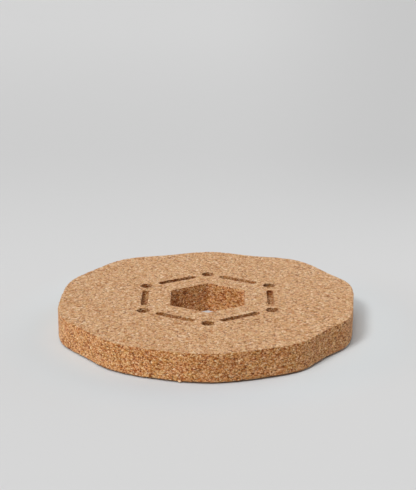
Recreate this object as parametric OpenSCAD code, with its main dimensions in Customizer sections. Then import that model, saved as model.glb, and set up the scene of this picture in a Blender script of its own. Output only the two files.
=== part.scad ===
// Cork trivet: one slab of pressed cork granules with a wavy, nearly round rim.
// The slab lies on z = 0, with the origin below its middle and +Y away from the user.
// A six-sided opening goes right through, for a finger or a wall hook, and a ring of
// short routed grooves and drilled dimples runs round it on the top face.

/* [Slab] */
// Width of the slab, measured as the mean of its wavy rim
slab_d = 200; // [160:1:260]
// Thickness of the slab
slab_t = 20; // [12:0.5:30]

/* [Opening] */
// Width of the six-sided opening between two opposite walls
opening_w = 50; // [30:1:64]
// Radius that the cutter leaves in the corners of the opening
opening_corner_r = 1.5; // [0.5:0.25:5]

/* [Grooves] */
// Cork left between a wall of the opening and the groove beside it
groove_margin = 15; // [8:0.5:20]
// Width of a groove
groove_w = 4.5; // [2:0.25:7]
// Depth of a groove
groove_depth = 3; // [1:0.25:6]

/* [Dimples] */
// Diameter of a drilled dimple
dimple_d = 8; // [4:0.5:11]
// Depth of a drilled dimple
dimple_depth = 6; // [2:0.5:9]
// Cork left between a dimple and the end of the groove beside it
dimple_gap = 6; // [3:0.5:9]

/* [Hidden] */
cork_colour = [0.78, 0.62, 0.47];

// How far a cut runs on past the face that it opens
cut_overrun = 1;

// The rim swings out to a lobe and in to a hollow by turns: the bearings of the turns in
// degrees from +X, lobe first, and the reach of each as a share of the slab's mean radius.
rim_bearings = [16, 30, 50, 71, 88, 106, 127, 144, 157, 178,
                200, 217, 235, 251, 272, 289, 304, 321, 336, 354];
rim_reach_shares = [1.024, 0.996, 1.031, 0.964, 1.005, 0.973, 1.029, 1.001, 1.010, 0.985,
                    1.013, 0.983, 1.004, 0.996, 1.010, 1.000, 1.014, 0.975, 1.004, 0.984];
full_turn = 360;
half_turn = 180;
rim_steps_per_turn = 9;
turns = len(rim_bearings);

// Six-fold pattern of the opening, the grooves and the dimples
sides = 6;
side_angle = full_turn / sides;
half_side_angle = side_angle / 2;
fine_fn = 48;

// Corner centres of the opening, so that its walls stay opening_w apart
opening_corner_reach = (opening_w / 2 - opening_corner_r) / cos(half_side_angle);

// Middle line of the grooves, as a larger hexagon round the opening
ring_apothem = opening_w / 2 + groove_margin + groove_w / 2;
ring_corner_reach = ring_apothem / cos(half_side_angle);
ring_side = 2 * ring_apothem * tan(half_side_angle);
groove_l = ring_side - dimple_d - 2 * dimple_gap;

function bearing(i) = rim_bearings[i % turns] + full_turn * floor(i / turns);
function reach(i) = slab_d / 2 * rim_reach_shares[i % turns];

// The rim eases from one turn to the next along half a cosine wave
function ease(share) = (1 - cos(half_turn * share)) / 2;
function rim_point(i, share) =
    let (
        angle = bearing(i) + (bearing(i + 1) - bearing(i)) * share,
        radius = reach(i) + (reach(i + 1) - reach(i)) * ease(share)
    )
    radius * [cos(angle), sin(angle)];

rim_points = [
    for (i = [0 : turns - 1])
        for (step = [0 : rim_steps_per_turn - 1])
            rim_point(i, step / rim_steps_per_turn)
];
rim_x = [for (p = rim_points) p.x];
rim_y = [for (p = rim_points) p.y];
rim_middle = [max(rim_x) + min(rim_x), max(rim_y) + min(rim_y)] / 2;

// Places copies on a ring, the first at the bearing start_angle
module on_ring(reach, start_angle = 0) {
    for (i = [0 : sides - 1])
        rotate(start_angle + i * side_angle)
            translate([reach, 0, 0])
                children();
}

// Outline of the slab, with the middle of its box on the origin
module rim_outline() {
    translate(-rim_middle)
        polygon(rim_points);
}

// Outline of the opening: a hexagon with a corner towards +Y and -Y, and a true arc of
// the cutter's radius in each corner
module opening_outline() {
    corner_angles = [for (i = [0 : sides - 1]) half_side_angle + i * side_angle];
    polygon([
        for (a = corner_angles)
            for (turn = [-half_side_angle, half_side_angle])
                opening_corner_reach * [cos(a), sin(a)]
                + opening_corner_r * [cos(a + turn), sin(a + turn)]
    ]);
    for (a = corner_angles)
        translate(opening_corner_reach * [cos(a), sin(a)])
            circle(r = opening_corner_r, $fn = fine_fn);
}

// The cutter's path for one groove, round at both ends, along Y
module groove_cut() {
    straight = groove_l - groove_w;
    translate([0, 0, slab_t - groove_depth])
        linear_extrude(groove_depth + cut_overrun) {
            square([groove_w, straight], center = true);
            for (side = [-1, 1])
                translate([0, side * straight / 2])
                    circle(d = groove_w, $fn = fine_fn);
        }
}

// One flat-bottomed drilled dimple
module dimple_cut() {
    translate([0, 0, slab_t - dimple_depth])
        cylinder(d = dimple_d, h = dimple_depth + cut_overrun, $fn = fine_fn);
}

module opening_cut() {
    translate([0, 0, -cut_overrun])
        linear_extrude(slab_t + 2 * cut_overrun)
            opening_outline();
}

module cork_slab() {
    color(cork_colour)
        difference() {
            linear_extrude(slab_t)
                rim_outline();
            opening_cut();
            on_ring(ring_apothem)
                groove_cut();
            on_ring(ring_corner_reach, half_side_angle)
                dimple_cut();
        }
}

cork_slab();
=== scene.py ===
import math

import bpy
from mathutils import Matrix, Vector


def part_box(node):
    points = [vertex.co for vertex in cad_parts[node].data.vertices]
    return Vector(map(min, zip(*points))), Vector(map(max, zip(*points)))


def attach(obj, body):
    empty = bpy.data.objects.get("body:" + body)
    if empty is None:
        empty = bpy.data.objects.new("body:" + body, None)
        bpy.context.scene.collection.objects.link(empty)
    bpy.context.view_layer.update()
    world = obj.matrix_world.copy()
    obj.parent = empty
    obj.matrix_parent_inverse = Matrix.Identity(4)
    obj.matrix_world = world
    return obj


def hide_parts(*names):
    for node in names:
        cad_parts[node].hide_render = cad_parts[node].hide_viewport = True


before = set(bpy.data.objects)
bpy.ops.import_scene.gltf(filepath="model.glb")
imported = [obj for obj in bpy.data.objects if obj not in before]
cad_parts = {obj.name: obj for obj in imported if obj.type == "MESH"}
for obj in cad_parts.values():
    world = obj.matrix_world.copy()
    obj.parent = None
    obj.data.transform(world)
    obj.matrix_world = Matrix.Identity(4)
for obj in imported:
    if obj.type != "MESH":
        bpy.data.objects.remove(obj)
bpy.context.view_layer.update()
MM = 0.001

# The camera stands in front of the trivet and a little above it, with a long lens, so that
# the slab is seen at a low angle and with little perspective.
camera_place = (0.30 * MM, -863.4 * MM, 329.8 * MM)
camera_down = math.radians(17.53)
camera_roll = math.radians(-0.18)
lens_mm = 100
level = Matrix.Rotation(math.pi / 2 - camera_down, 4, "X")
aim = level @ Matrix.Rotation(camera_roll, 4, "Z")
bpy.ops.object.camera_add(location=camera_place, rotation=aim.to_euler())
camera = bpy.context.object
camera.data.lens = lens_mm
bpy.context.scene.camera = camera
bpy.context.scene.view_settings.view_transform = "Standard"

# The floor is a wide sheet of matt pale grey card that fills the view. It is staging: the
# trivet lies on it and throws its shadow there, and it is no part of the trivet.
floor_width = 20
bpy.ops.mesh.primitive_plane_add(size=floor_width)
floor = bpy.context.object
floor.name = "floor"
card = bpy.data.materials.new("matt grey card")
card.use_nodes = True
tree = card.node_tree


def linear(hex_colour):
    """An sRGB colour such as "#C89F77" as the linear RGBA that Blender works in."""
    shares = [int(hex_colour[i : i + 2], 16) / 255 for i in (1, 3, 5)]
    return [
        s / 12.92 if s <= 0.04045 else ((s + 0.055) / 1.055) ** 2.4 for s in shares
    ] + [1]


def add_node(tree, kind, inputs=None, **settings):
    """Adds a node. An input is a socket of another node, which is linked, or a plain value."""
    node = tree.nodes.new(kind)
    for name, value in settings.items():
        setattr(node, name, value)
    for name, value in (inputs or {}).items():
        socket = node.inputs[name]
        if isinstance(value, bpy.types.NodeSocket):
            tree.links.new(value, socket)
        else:
            socket.default_value = value
    return node


def mathed(tree, operation, *values, clamp=False):
    """One step of arithmetic on sockets or numbers."""
    node = add_node(
        tree, "ShaderNodeMath", dict(enumerate(values)), operation=operation
    )
    node.use_clamp = clamp
    return node.outputs[0]


def ramped(tree, value, start, end, low=0.0, high=1.0):
    """A soft step from low to high, as value goes from start to end."""
    return add_node(
        tree,
        "ShaderNodeMapRange",
        {"Value": value, "From Min": start, "From Max": end, "To Min": low, "To Max": high},
        interpolation_type="SMOOTHSTEP",
    ).outputs[0]


def mixed(tree, share, first, second):
    """Two colours, mixed by a share from 0 to 1."""
    return add_node(
        tree,
        "ShaderNodeMix",
        {"Factor": share, 6: first, 7: second},
        data_type="RGBA",
    ).outputs[2]


place = add_node(tree, "ShaderNodeTexCoord").outputs["Object"]
card_place = add_node(tree, "ShaderNodeSeparateXYZ", {0: place})
across = card_place.outputs["X"]
back = card_place.outputs["Y"]
# Behind the trivet the card is painted with shade, full at the right edge of the view and by a
# share of that from its middle leftwards, and the share falls again in the distance.
dims_from, dims_to, far_off = 80 * MM, 520 * MM, 1400 * MM
middle_share, far_share = 0.585, 0.19
right_edge_slope = 0.16
behind = ramped(tree, back, dims_from, dims_to)
middle_dim = ramped(tree, back, dims_to, far_off, middle_share, far_share)
camera_off = mathed(tree, "SUBTRACT", back, camera_place[1])
to_the_right = mathed(tree, "DIVIDE", across, camera_off)
dim = ramped(tree, to_the_right, 0.0, right_edge_slope, middle_dim, 1.0)
dim = mathed(tree, "MULTIPLY", behind, dim)
card_colour = mixed(tree, dim, linear("#D5D5D5"), linear("#C5C5C5"))
# The photograph's card stays even next to the cork, whose bounce would warm it and whose
# faint side shadows would dim it, so the card is a touch cooler there and paler at the sides.
near_until, far_from = 100 * MM, 160 * MM
side_from, side_to = 20 * MM, 100 * MM
from_middle = add_node(
    tree, "ShaderNodeVectorMath", {0: place}, operation="LENGTH"
).outputs["Value"]
near = ramped(tree, from_middle, near_until, far_from, 1.0, 0.0)
beside = ramped(tree, mathed(tree, "ABSOLUTE", across), side_from, side_to)
near_colour = mixed(tree, beside, linear("#D1D5D8"), linear("#D6DBDD"))
card_colour = mixed(tree, near, card_colour, near_colour)
card_surface = tree.nodes["Principled BSDF"]
tree.links.new(card_colour, card_surface.inputs["Base Color"])
card_surface.inputs["Roughness"].default_value = 0.9
card_surface.inputs["Specular IOR Level"].default_value = 0.2
floor.data.materials.append(card)

# The key lamp stands in front and to the left, with a broad soft one high above it. Two more
# stand low, at the left and behind to the right, and fill the shadow. The room is a pale
# grey that the camera and a gloss see brighter than it shines.
room_light = 0.21
room_seen = 0.665
room = bpy.data.worlds.new("pale room")
bpy.context.scene.world = room
room.use_nodes = True
tree = room.node_tree
tree.nodes.clear()
path = add_node(tree, "ShaderNodeLightPath")
seen = mathed(tree, "MAXIMUM", path.outputs["Is Camera Ray"], path.outputs["Is Glossy Ray"])
strength = add_node(
    tree, "ShaderNodeMapRange", {"Value": seen, "To Min": room_light, "To Max": room_seen}
)
glow = add_node(
    tree,
    "ShaderNodeBackground",
    {"Color": (1, 1, 1, 1), "Strength": strength.outputs[0]},
)
add_node(tree, "ShaderNodeOutputWorld", {"Surface": glow.outputs[0]})


def add_sun(name, bearing, height, width, power):
    """A lamp so far off that its light is even. Angles in degrees, bearing from +X."""
    tip = math.radians(90 - height)
    turn = Matrix.Rotation(math.radians(bearing), 4, "Z") @ Matrix.Rotation(tip, 4, "Y")
    bpy.ops.object.light_add(type="SUN", rotation=turn.to_euler())
    lamp = bpy.context.object
    lamp.name = name
    lamp.data.angle = math.radians(width)
    lamp.data.energy = power


add_sun("key lamp", bearing=231, height=45, width=15, power=1.52)
add_sun("high soft lamp", bearing=230, height=75, width=35, power=1.0)
add_sun("low left lamp", bearing=180, height=12, width=30, power=0.68)
add_sun("low back lamp", bearing=30, height=20, width=50, power=0.90)

# The trivet is one slab of agglomerated cork: granules of ground bark, up to 3 mm across,
# pressed with a binder into a block. The block is sliced, both faces are sanded, and the
# rim, the opening, the grooves and the dimples are cut with a router. Nothing is fixed on.
lowest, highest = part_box("cork_slab")
bottom, top = lowest.z, highest.z
granule_mm = 1.4
fine_granule_mm = 0.65
pressed_flat = 1.5
ragged_mm = 0.9
bent_mm = 1.2


def add_granules(tree, place):
    """The granules as one solid pattern, which both the relief and the colours follow. From
    a place in metres, gives that place in mm, the coarse and fine cells and the seams."""
    in_mm = add_node(
        tree, "ShaderNodeVectorMath", {0: place, "Scale": 1 / MM}, operation="SCALE"
    ).outputs[0]
    # Pressing flattens the granules a little from top to bottom.
    pressed = add_node(
        tree, "ShaderNodeVectorMath", {0: in_mm, 1: (1, 1, pressed_flat)}, operation="MULTIPLY"
    ).outputs[0]
    # Torn bark has ragged outlines, so the cells are bent by up to half of bent_mm each way.
    ragged = add_node(
        tree, "ShaderNodeTexNoise", {"Vector": pressed, "Scale": 1 / ragged_mm, "Detail": 2.0}
    ).outputs["Color"]
    bent = add_node(
        tree,
        "ShaderNodeVectorMath",
        {0: ragged, 1: (bent_mm, bent_mm, bent_mm), 2: pressed},
        operation="MULTIPLY_ADD",
    ).outputs[0]
    coarse = add_node(
        tree, "ShaderNodeTexVoronoi", {"Vector": bent, "Scale": 1 / granule_mm}
    )
    fine = add_node(
        tree, "ShaderNodeTexVoronoi", {"Vector": bent, "Scale": 1 / fine_granule_mm}
    )
    seams = add_node(
        tree,
        "ShaderNodeTexVoronoi",
        {"Vector": bent, "Scale": 1 / granule_mm},
        feature="DISTANCE_TO_EDGE",
    )
    return in_mm, coarse, fine, seams


# The slab starts as the CAD solid. The rim's lower arris, which wears as the trivet is stood
# down, is eased first: the underside is inset, and its edge past the opening is lifted.
same_place = 0.001 * MM
same_plane = math.radians(0.5)
facing_down = -0.5
past_opening_mm = 36
ease_in, ease_up = 3.6 * MM, 1.1 * MM
bpy.ops.object.select_all(action="DESELECT")
cad_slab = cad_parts["cork_slab"]
cad_slab.select_set(True)
bpy.context.view_layer.objects.active = cad_slab
bpy.ops.object.duplicate()
slab = bpy.context.object
slab.name = "pressed_cork_slab"
slab.data.name = "pressed_cork_slab"
bpy.ops.object.mode_set(mode="EDIT")
bpy.ops.mesh.select_mode(type="VERT")
bpy.ops.mesh.select_all(action="SELECT")
bpy.ops.mesh.remove_doubles(threshold=same_place)
bpy.ops.mesh.dissolve_limited(angle_limit=same_plane)
bpy.ops.mesh.select_all(action="DESELECT")
bpy.ops.object.mode_set(mode="OBJECT")
for face in slab.data.polygons:
    face.select = face.normal.z < facing_down
bpy.ops.object.mode_set(mode="EDIT")
bpy.ops.mesh.inset(thickness=ease_in, depth=0)
bpy.ops.object.mode_set(mode="OBJECT")
on_inside = {i for face in slab.data.polygons if face.select for i in face.vertices}
bpy.ops.object.mode_set(mode="EDIT")
bpy.ops.mesh.select_all(action="DESELECT")
bpy.ops.object.mode_set(mode="OBJECT")
for vertex in slab.data.vertices:
    low = vertex.co.z < bottom + same_place
    on_rim = math.hypot(vertex.co.x, vertex.co.y) > past_opening_mm * MM
    vertex.select = low and on_rim and vertex.index not in on_inside
bpy.ops.object.mode_set(mode="EDIT")
bpy.ops.transform.translate(value=(0, 0, ease_up))
bpy.ops.object.mode_set(mode="OBJECT")

# One granule has come half loose at the lower arris, in front and a little to the left. The
# ball is one unit wide before it takes the granule's size.
crumb_place = (-17.4 * MM, -98.5 * MM, 0.8 * MM)
crumb_size = (1.9 * MM, 1.6 * MM, 1.2 * MM)
bpy.ops.object.select_all(action="DESELECT")
bpy.ops.mesh.primitive_ico_sphere_add(subdivisions=2, radius=0.5, location=crumb_place)
crumb = bpy.context.object
bpy.ops.transform.resize(value=crumb_size)
slab.select_set(True)
bpy.context.view_layer.objects.active = slab
bpy.ops.object.join()

# A voxel remesh gives the slab and the loose granule one even skin, fine enough to carry the
# granules' relief.
skin_step = 0.5 * MM
skin = slab.modifiers.new("even skin", "REMESH")
skin.mode = "VOXEL"
skin.voxel_size = skin_step
bpy.ops.object.modifier_apply(modifier=skin.name)

# The relief only goes inwards from the CAD surface. On a cut wall each granule stands at
# its own depth, some are torn out, and gaps are left where granules meet. The sander has
# levelled all but the deepest of that on the two faces, and arrises crumble.
relief = bpy.data.node_groups.new("granule relief", "GeometryNodeTree")
for way in ("INPUT", "OUTPUT"):
    relief.interface.new_socket("Geometry", in_out=way, socket_type="NodeSocketGeometry")
skin_in = add_node(relief, "NodeGroupInput")
place = add_node(relief, "GeometryNodeInputPosition").outputs[0]
facing = add_node(relief, "GeometryNodeInputNormal").outputs[0]
in_mm, coarse, _, seams = add_granules(relief, place)
# Each granule has a random colour, whose three parts are its chances.
chance = add_node(relief, "ShaderNodeSeparateXYZ", {0: coarse.outputs["Color"]})
height = add_node(relief, "ShaderNodeSeparateXYZ", {0: place}).outputs["Z"]
lean = add_node(relief, "ShaderNodeSeparateXYZ", {0: facing}).outputs["Z"]
# What lies within sanded_depth of a face is sanded, and what lies twice as deep is cut.
sanded_depth = 0.1 * MM
under_top = ramped(relief, height, top - 2 * sanded_depth, top - sanded_depth, 1.0, 0.0)
over_bottom = ramped(relief, height, bottom + sanded_depth, bottom + 2 * sanded_depth)
cut = mathed(relief, "MULTIPLY", under_top, over_bottom)

# On the cut walls, six or seven granules in a hundred are torn out, and the cutter's path
# wavers slowly. A seam's edge and a gap's start are shares of the granule's width.
step_mm = 0.14
seam_dip_mm = 0.06
torn_mm = 0.45
gap_mm = 0.35
wander_mm = 0.2
seam_edge = 0.14
torn_from, torn_to = 0.93, 0.94
gap_from, gap_to = 0.66, 0.80
waver_mm = 14
waver_low, waver_high = 0.3, 0.7
steps = mathed(relief, "MULTIPLY", chance.outputs["X"], step_mm)
seam_dips = ramped(relief, seams.outputs["Distance"], 0.0, seam_edge, seam_dip_mm, 0.0)
torn = ramped(relief, chance.outputs["Y"], torn_from, torn_to, 0.0, torn_mm)
gaps = ramped(relief, coarse.outputs["Distance"], gap_from, gap_to, 0.0, gap_mm)
waver = add_node(relief, "ShaderNodeTexNoise", {"Vector": in_mm, "Scale": 1 / waver_mm})
wander = ramped(relief, waver.outputs[0], waver_low, waver_high, 0.0, wander_mm)
rough = mathed(relief, "ADD", steps, seam_dips)
rough = mathed(relief, "ADD", rough, mathed(relief, "MAXIMUM", torn, gaps))
rough = mathed(relief, "ADD", rough, wander)
cut_relief = mathed(relief, "MULTIPLY", rough, cut)

# On the sanded faces, a granule in a hundred is torn out, and only the widest gaps show.
torn_left_mm = 0.3
gap_left_mm = 0.25
torn_left_from, torn_left_to = 0.99, 0.995
gap_left_from, gap_left_to = 0.80, 0.90
torn_flat = ramped(relief, chance.outputs["Y"], torn_left_from, torn_left_to, 0.0, torn_left_mm)
gaps_flat = ramped(
    relief, coarse.outputs["Distance"], gap_left_from, gap_left_to, 0.0, gap_left_mm
)
left_flat = mathed(relief, "MAXIMUM", torn_flat, gaps_flat)

# An arris is where the surface faces partly up or down and partly sideways. It crumbles in
# bites of about crumbled_mm, each at its own depth.
arris_spread = 2
arris_from, arris_to = 0.02, 0.16
crumbled_mm = 1.6
bites_from, bites_to = 0.48, 0.70
least_bite_mm, most_bite_mm = 0.05, 0.40
steep = mathed(relief, "MULTIPLY", lean, lean)
turned = mathed(relief, "MULTIPLY", steep, mathed(relief, "SUBTRACT", 1.0, steep))
near_arris = add_node(
    relief, "GeometryNodeBlurAttribute", {"Value": turned, "Iterations": arris_spread}
).outputs["Value"]
arris = ramped(relief, near_arris, arris_from, arris_to)
bites = add_node(
    relief, "ShaderNodeTexNoise", {"Vector": in_mm, "Scale": 1 / crumbled_mm, "Detail": 1.0}
)
crumbled = ramped(relief, bites.outputs[0], bites_from, bites_to, least_bite_mm, most_bite_mm)
chipped = mathed(relief, "MULTIPLY", arris, crumbled)

depth = mathed(relief, "ADD", mathed(relief, "MAXIMUM", cut_relief, left_flat), chipped)
sunk = add_node(
    relief,
    "ShaderNodeVectorMath",
    {0: facing, "Scale": mathed(relief, "MULTIPLY", depth, -MM)},
    operation="SCALE",
).outputs[0]
moved = add_node(
    relief,
    "GeometryNodeSetPosition",
    {"Geometry": skin_in.outputs[0], "Offset": sunk},
)
add_node(relief, "NodeGroupOutput", {0: moved.outputs[0]})
granules = slab.modifiers.new("granule relief", "NODES")
granules.node_group = relief
bpy.ops.object.modifier_apply(modifier=granules.name)

# The skin is four-sided faces, which are thinned to a number that one piece can keep.
most_triangles = 190_000
crease = math.radians(50)
thinned = slab.modifiers.new("thinned", "DECIMATE")
thinned.ratio = min(1, most_triangles / (2 * len(slab.data.polygons)))
bpy.ops.object.modifier_apply(modifier=thinned.name)
# Thinning shifts points by some hundredths of a millimetre, so they are held within the
# height of the slab.
for vertex in slab.data.vertices:
    vertex.co.z = min(max(vertex.co.z, bottom), top)
bpy.ops.object.shade_smooth_by_angle(angle=crease)

# Agglomerated cork is matt and warm brown, speckled with granules from straw to bark
# brown. The sander leaves its faces pale and even, and the router's walls stay darker.
cork = bpy.data.materials.new("agglomerated cork")
cork.use_nodes = True
tree = cork.node_tree
surface = tree.nodes["Principled BSDF"]
surface.inputs["Roughness"].default_value = 0.85
surface.inputs["Specular IOR Level"].default_value = 0.3
# Torn cells stand up as a faint fuzz, which pales the cork where it is seen at a low angle.
surface.inputs["Sheen Weight"].default_value = 0.22
surface.inputs["Sheen Roughness"].default_value = 0.5
surface.inputs["Sheen Tint"].default_value = linear("#FFEDD2")
place = add_node(tree, "ShaderNodeTexCoord").outputs["Object"]
in_mm, coarse, fine, seams = add_granules(tree, place)
height = add_node(tree, "ShaderNodeSeparateXYZ", {0: place}).outputs["Z"]
chance = add_node(tree, "ShaderNodeSeparateXYZ", {0: coarse.outputs["Color"]})
fine_chance = add_node(tree, "ShaderNodeSeparateXYZ", {0: fine.outputs["Color"]})

# Seven granules in ten are broken small.
broken_share = 0.7
broken = mathed(tree, "LESS_THAN", chance.outputs["Z"], broken_share)
tone = add_node(
    tree,
    "ShaderNodeMix",
    {0: broken, 2: chance.outputs["X"], 3: fine_chance.outputs["X"]},
).outputs[0]
# Each granule shows its own bark grain, turned its own way. The grain's flecks are four times
# as long as they are wide.
bark_grain_mm = 0.6
fleck_length = 4
granule_share, grain_share = 0.78, 0.7
grain_middle = 0.34
turned = add_node(
    tree,
    "ShaderNodeVectorRotate",
    {
        "Vector": in_mm,
        "Axis": coarse.outputs["Color"],
        "Angle": mathed(tree, "MULTIPLY", chance.outputs["Y"], math.tau),
    },
).outputs[0]
drawn_out = add_node(
    tree, "ShaderNodeVectorMath", {0: turned, 1: (1, 1, 1 / fleck_length)}, operation="MULTIPLY"
).outputs[0]
grain = add_node(
    tree, "ShaderNodeTexNoise", {"Vector": drawn_out, "Scale": 1 / bark_grain_mm, "Detail": 3.0}
).outputs[0]
tone = mathed(
    tree,
    "ADD",
    mathed(tree, "MULTIPLY", tone, granule_share),
    mathed(tree, "MULTIPLY", mathed(tree, "SUBTRACT", grain, grain_middle), grain_share),
    clamp=True,
)
# The half-loose granule is a pale one. Its colour reaches a little past it.
crumb_tone = 0.88
crumb_reach = 0.65 * crumb_size[0]
from_crumb = add_node(
    tree, "ShaderNodeVectorMath", {0: place, 1: crumb_place}, operation="DISTANCE"
).outputs["Value"]
in_crumb = mathed(tree, "LESS_THAN", from_crumb, crumb_reach)
tone = mathed(tree, "MAXIMUM", tone, mathed(tree, "MULTIPLY", in_crumb, crumb_tone))


def add_shades(value, stops):
    """Cork shades from dark to pale, as (place, sRGB) stops."""
    node = add_node(tree, "ShaderNodeValToRGB", {0: value})
    shades = node.color_ramp
    while len(shades.elements) < len(stops):
        shades.elements.new(0.5)
    for element, (at, colour) in zip(shades.elements, stops):
        element.position = at
        element.color = linear(colour)
    return node.outputs[0]


sanded_shades = add_shades(
    tone,
    [(0.0, "#773B0A"), (0.2, "#AE7134"), (0.5, "#D19E6D"), (0.8, "#E0BB93"), (1.0, "#F4DCBF")],
)
cut_shades = add_shades(
    tone,
    [(0.0, "#5A1D00"), (0.2, "#964C0F"), (0.5, "#CF8B4A"), (0.8, "#E9B983"), (1.0, "#FADCB6")],
)
sanded_within, cut_beyond = 0.08 * MM, 0.2 * MM
near_top = ramped(tree, height, top - cut_beyond, top - sanded_within)
near_bottom = ramped(tree, height, bottom + sanded_within, bottom + cut_beyond, 1.0, 0.0)
sanded = mathed(tree, "MAXIMUM", near_top, near_bottom)
colour = mixed(tree, sanded, cut_shades, sanded_shades)

# Some of the bark is redder and some more olive, by the granule and by the patch.
patch_mm = 4
patch_low, patch_high = 0.3, 0.7
same_hue = 0.5
granule_turn = 0.003
patch_turn = 0.006
patch = add_node(
    tree, "ShaderNodeTexNoise", {"Vector": in_mm, "Scale": 1 / patch_mm, "Detail": 3.0}
).outputs[0]
hue = mathed(
    tree,
    "ADD",
    ramped(
        tree, fine_chance.outputs["Y"], 0.0, 1.0, same_hue - granule_turn, same_hue + granule_turn
    ),
    ramped(tree, patch, patch_low, patch_high, -patch_turn, patch_turn),
)
colour = add_node(tree, "ShaderNodeHueSaturation", {"Hue": hue, "Color": colour}).outputs[0]

# The grooves and the dimples, which lie in a ring round the opening below the sanded face, are
# darkened.
past_cuts_mm = 58
darkened_share = 0.29
flat_place = add_node(
    tree, "ShaderNodeVectorMath", {0: in_mm, 1: (1, 1, 0)}, operation="MULTIPLY"
).outputs[0]
reach = add_node(
    tree, "ShaderNodeVectorMath", {0: flat_place}, operation="LENGTH"
).outputs["Value"]
in_ring = mathed(
    tree,
    "MULTIPLY",
    mathed(tree, "GREATER_THAN", reach, past_opening_mm),
    mathed(tree, "LESS_THAN", reach, past_cuts_mm),
)
below_faces = mathed(tree, "SUBTRACT", 1.0, sanded)
darkened = mathed(tree, "MULTIPLY", in_ring, below_faces)
darkened = mathed(tree, "MULTIPLY", darkened, darkened_share)
colour = mixed(tree, darkened, colour, linear("#1E0A00"))

# Binder darkens the seams beside about half of the fine granules, and shadow fills the gaps.
dark_seam_edge = 0.07
bound_from, bound_to = 0.4, 0.6
dark_gap_from, dark_gap_to = 0.68, 0.80
seam_share = 0.4
seam = ramped(tree, seams.outputs["Distance"], 0.0, dark_seam_edge, 1.0, 0.0)
bound = ramped(tree, fine_chance.outputs["Y"], bound_from, bound_to)
seam = mathed(tree, "MULTIPLY", seam, bound)
gap = ramped(tree, coarse.outputs["Distance"], dark_gap_from, dark_gap_to)
dark = mathed(tree, "MAXIMUM", mathed(tree, "MULTIPLY", seam, seam_share), gap)

# The bark's pores are dark too. They come thick in some places and thin in others, in 12 to
# 26 fine granules of a hundred, and show half as much where they are sanded.
pore_full, pore_gone = 0.30, 0.52
crowding_mm = 9
crowding_low, crowding_high = 0.35, 0.65
fewest_from, most_from = 0.88, 0.74
sanded_pore_share = 0.5
dark_share = 0.7
pore = ramped(tree, fine.outputs["Distance"], pore_full, pore_gone, 1.0, 0.0)
crowding = add_node(
    tree, "ShaderNodeTexNoise", {"Vector": in_mm, "Scale": 1 / crowding_mm, "Detail": 1.0}
).outputs[0]
porous_from = ramped(tree, crowding, crowding_low, crowding_high, fewest_from, most_from)
porous = mathed(tree, "GREATER_THAN", fine_chance.outputs["Z"], porous_from)
pore = mathed(tree, "MULTIPLY", pore, porous)
pore = mathed(tree, "MULTIPLY", pore, ramped(tree, sanded, 0.0, 1.0, 1.0, sanded_pore_share))
dark = mathed(tree, "MAXIMUM", dark, pore)
colour = mixed(tree, mathed(tree, "MULTIPLY", dark, dark_share), colour, linear("#5A2600"))
tree.links.new(colour, surface.inputs["Base Color"])

# The torn cells of cork are some 0.03 mm wide, too fine to show, so their fuzz is drawn about
# ten times as coarse. Seams, gaps and pores lie lower.
fuzz_mm = 0.33
dark_dip = 0.8
fuzz_height = 0.12 * MM
fuzz_strength = 0.6
fuzz = add_node(
    tree, "ShaderNodeTexNoise", {"Vector": in_mm, "Scale": 1 / fuzz_mm, "Detail": 4.0}
).outputs[0]
bumps = mathed(tree, "SUBTRACT", fuzz, mathed(tree, "MULTIPLY", dark, dark_dip))
bump = add_node(
    tree,
    "ShaderNodeBump",
    {"Strength": fuzz_strength, "Distance": fuzz_height, "Height": bumps},
)
tree.links.new(bump.outputs[0], surface.inputs["Normal"])

slab.data.materials.clear()
slab.data.materials.append(cork)
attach(slab, "root")
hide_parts("cork_slab")
